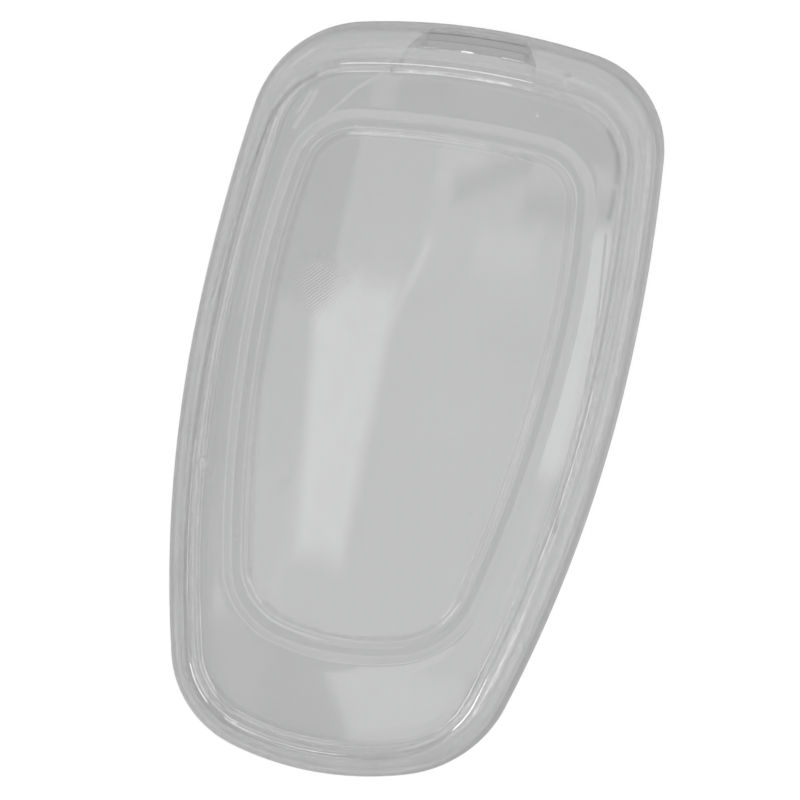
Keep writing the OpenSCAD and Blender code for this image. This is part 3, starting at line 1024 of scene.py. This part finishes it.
def studio_world(tree):
    """Even grey light, white where the camera or the plastic sees it, and soft boxes overhead."""
    tree.nodes.clear()
    place = put(tree, "ShaderNodeTexCoord").outputs["Generated"]
    split = axes_of(tree, place)
    height = sum_of(tree, "MAXIMUM", split["Z"], LOWEST_SKY)
    ratios = {axis: sum_of(tree, "DIVIDE", split[axis], height) for axis in "XY"}
    lean = put(tree, "ShaderNodeCombineXYZ", ratios).outputs[0]
    away = vector_of(tree, "DISTANCE", lean, (*RING_MIDDLE, 0))
    total = SKY_BASE
    for (near, near_level), (far, far_level) in zip(RING_BANDS, RING_BANDS[1:]):
        if near_level != far_level:
            step = step_of(tree, away, near, far, 0, far_level - near_level)
            total = sum_of(tree, "ADD", step, total)
    group = node_group("soft box", soft_box_group)
    for name, middle, half, turn, softness, level in SOFT_BOXES:
        box = put(tree, "ShaderNodeGroup", node_tree=group, label=name)
        tree.links.new(lean, box.inputs["Lean"])
        box.inputs["Middle"].default_value = (*middle, 0)
        box.inputs["Half Size"].default_value = (*half, 0)
        box.inputs["Turn"].default_value = -math.radians(turn)
        box.inputs["Softness"].default_value = softness
        change = sum_of(tree, "SUBTRACT", level, total)
        total = sum_of(tree, "MULTIPLY_ADD", box.outputs["Mask"], change, total)
    light, gloss, white = [
        put(tree, "ShaderNodeBackground", {"Color": WHITE, "Strength": strength}).outputs[0]
        for strength in (SKY_LIGHT, total, 1)
    ]
    path = put(tree, "ShaderNodeLightPath").outputs
    seen = sum_of(tree, "MAXIMUM", path["Is Camera Ray"], path["Is Transmission Ray"])
    surface = mixed(tree, seen, mixed(tree, path["Is Glossy Ray"], light, gloss), white)
    put(tree, "ShaderNodeOutputWorld", {"Surface": surface})


# Lamps: place, width and height in metres, and power
LAMPS = (
    ("lamp low right", (0.45, -0.4, 0.42), (0.2, 0.1), 0.45),
    ("lamp left", (-0.48, -0.46, 0.36), (0.24, 0.08), 0.3),
    ("lamp far left", (-0.62, -0.24, 0.36), (0.12, 0.08), 0.05),
    ("lamp low", (-0.12, -0.6, 0.4), (0.3, 0.05), 0.17),
    ("lamp right", (0.58, -0.16, 0.4), (0.14, 0.05), 0.07),
    ("lamp top", (-0.18, 0.6, 0.42), (0.36, 0.06), 0.32),
)
LAMP_AIM = (0, 0, 0.01)

# The photo's camera: its turns in degrees, and how far it stands aside in millimetres
CAMERA_YAW, CAMERA_PITCH, CAMERA_ROLL = -5.3, 9.4, -12.4
CAMERA_SHIFT = (-0.24, -0.79)
SENSOR_WIDTH, CAMERA_CLIP = 36, 0.01
FLOOR_SIZE, FLOOR_DROP = 3, 0.3 * MM


# Operators

# How much light passes straight through each shell, unbent
REAR_UNBENT, FRONT_UNBENT = 0.65, 0.4
SMOOTH_ANGLE = math.radians(32)


def cover_shape(scene):
    """The cover's rings, from the sizes that the scene keeps."""
    return CoverShape(scene.cover_body, scene.cover_wall, scene.cover_panel, scene.cover_closure)


class COVER_OT_rear_shell(Operator):
    """Models the rear shell with its lip and snap bead"""

    bl_idname = "fob_cover.rear_shell"
    bl_label = "Rear Shell"

    def execute(self, context):
        scene = context.scene
        shape = cover_shape(scene)
        rings = rear_rings(shape)
        piece = shell_from_rings("clear_rear_shell", rings)
        close_with_grid(piece, rings[0], len(rings[0]) // 4)
        close_with_grid(piece, rings[-1], len(rings[-1]) // 4)
        finish_shell(piece)
        cut(piece, slot_cutter(shape))
        activate(piece)
        bpy.ops.object.shade_smooth_by_angle(angle=SMOOTH_ANGLE)
        look = scene.cover_plastic
        plastic = clear_plastic(
            "clear rear plastic",
            look.rear_tint,
            look.bend,
            REAR_UNBENT,
            coat=0,
            seam=scene.cover_body.seam_height,
            marked=False,
        )
        piece.data.materials.append(plastic)
        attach(piece, "rear")
        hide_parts("rear_shell")
        return {"FINISHED"}


class COVER_OT_front_shell(Operator):
    """Models the front shell with its button panel and key ring slot"""

    bl_idname = "fob_cover.front_shell"
    bl_label = "Front Shell"

    def execute(self, context):
        scene = context.scene
        shape = cover_shape(scene)
        rings = front_rings(shape)
        piece = shell_from_rings("clear_front_shell", rings)
        outside = -shape.panel.recess
        inside = shape.panel.relief - shape.wall.front_wall
        for ring, lift in ((rings[0], outside), (rings[-1], inside)):
            close_with_grid(piece, ring, len(ring) // 4)
            mesh = bmesh.from_edit_mesh(piece.data)
            for vertex in mesh.verts:
                if vertex.select:
                    vertex.co.z = shape.face_height(vertex.co.x) + lift
            bmesh.update_edit_mesh(piece.data)
        finish_shell(piece)
        cut(piece, slot_cutter(shape))
        soften_slot(piece, shape)
        activate(piece)
        bpy.ops.object.shade_smooth_by_angle(angle=SMOOTH_ANGLE)
        look = scene.cover_plastic
        plastic = clear_plastic(
            "clear front plastic",
            look.front_tint,
            look.bend,
            FRONT_UNBENT,
            coat=1,
            seam=scene.cover_body.seam_height,
            marked=True,
        )
        piece.data.materials.append(plastic)
        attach(piece, "front")
        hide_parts("front_shell")
        return {"FINISHED"}


class COVER_OT_stage(Operator):
    """Sets the floor, the lamps, the world and the camera"""

    bl_idname = "fob_cover.stage"
    bl_label = "Stage"

    def execute(self, context):
        scene = context.scene
        look = scene.cover_stage
        deselect_all()
        bpy.ops.mesh.primitive_plane_add(size=FLOOR_SIZE, location=(0, 0, -FLOOR_DROP))
        floor = context.active_object
        floor.name = "floor"
        bpy.ops.object.transform_apply(location=True, rotation=True, scale=True)
        floor.data.materials.append(floor_material(look.floor_colour))

        world = bpy.data.worlds.new("soft studio")
        scene.world = world
        world.use_nodes = True
        studio_world(world.node_tree)

        for name, place, size, power in LAMPS:
            lamp = bpy.data.lights.new(name, "AREA")
            lamp.shape = "RECTANGLE"
            lamp.size, lamp.size_y = size
            lamp.energy = power
            lamp_object = bpy.data.objects.new(name, lamp)
            lamp_object.location = place
            aim = Vector(LAMP_AIM) - Vector(place)
            lamp_object.rotation_euler = aim.to_track_quat("-Z", "Y").to_euler()
            scene.collection.objects.link(lamp_object)

        turn = (
            Matrix.Rotation(math.radians(CAMERA_ROLL), 3, "Z")
            @ Matrix.Rotation(math.radians(CAMERA_PITCH), 3, "X")
            @ Matrix.Rotation(math.radians(CAMERA_YAW), 3, "Y")
        )
        aside, along = CAMERA_SHIFT
        offset = Vector((-aside * MM, -along * MM, look.camera_distance))
        back = turn.transposed()
        camera = bpy.data.cameras.new("photo camera")
        camera.lens = look.camera_focal / MM
        camera.sensor_width = SENSOR_WIDTH
        camera.clip_start = CAMERA_CLIP
        camera_object = bpy.data.objects.new("photo camera", camera)
        place = back @ offset + Vector((0, 0, scene.cover_body.seam_height))
        camera_object.matrix_world = Matrix.Translation(place) @ back.to_4x4()
        scene.collection.objects.link(camera_object)
        scene.camera = camera_object
        scene.view_settings.view_transform = "Standard"
        return {"FINISHED"}


class COVER_PT_sidebar(Panel):
    """Lists the cover's sizes and its pieces"""

    bl_idname = "COVER_PT_sidebar"
    bl_label = "Clear Key Fob Cover"
    bl_space_type = "VIEW_3D"
    bl_region_type = "UI"
    bl_category = "Fob Cover"

    def draw(self, context):
        layout = self.layout
        for name in GROUPS:
            box = layout.box()
            group = getattr(context.scene, name)
            for prop in group.bl_rna.properties:
                if prop.identifier not in ("rna_type", "name"):
                    box.prop(group, prop.identifier)
        for operator in STEPS:
            layout.operator(operator.bl_idname)


GROUPS = {
    "cover_body": CoverBodySizes,
    "cover_wall": WallSizes,
    "cover_panel": ButtonPanelSizes,
    "cover_closure": ClosureSizes,
    "cover_plastic": PlasticLook,
    "cover_stage": StageLook,
}
STEPS = (COVER_OT_rear_shell, COVER_OT_front_shell, COVER_OT_stage)


def register():
    """Registers the sizes, the steps and the sidebar panel."""
    for name, group in GROUPS.items():
        bpy.utils.register_class(group)
        setattr(bpy.types.Scene, name, PointerProperty(type=group))
    for step in STEPS:
        bpy.utils.register_class(step)
    bpy.utils.register_class(COVER_PT_sidebar)


def unregister():
    """Takes back what register did."""
    bpy.utils.unregister_class(COVER_PT_sidebar)
    for step in reversed(STEPS):
        bpy.utils.unregister_class(step)
    for name, group in reversed(GROUPS.items()):
        delattr(bpy.types.Scene, name)
        bpy.utils.unregister_class(group)


def main():
    """Builds the cover and its stage."""
    register()
    bpy.ops.fob_cover.rear_shell()
    bpy.ops.fob_cover.front_shell()
    bpy.ops.fob_cover.stage()


if __name__ == "__main__":
    main()
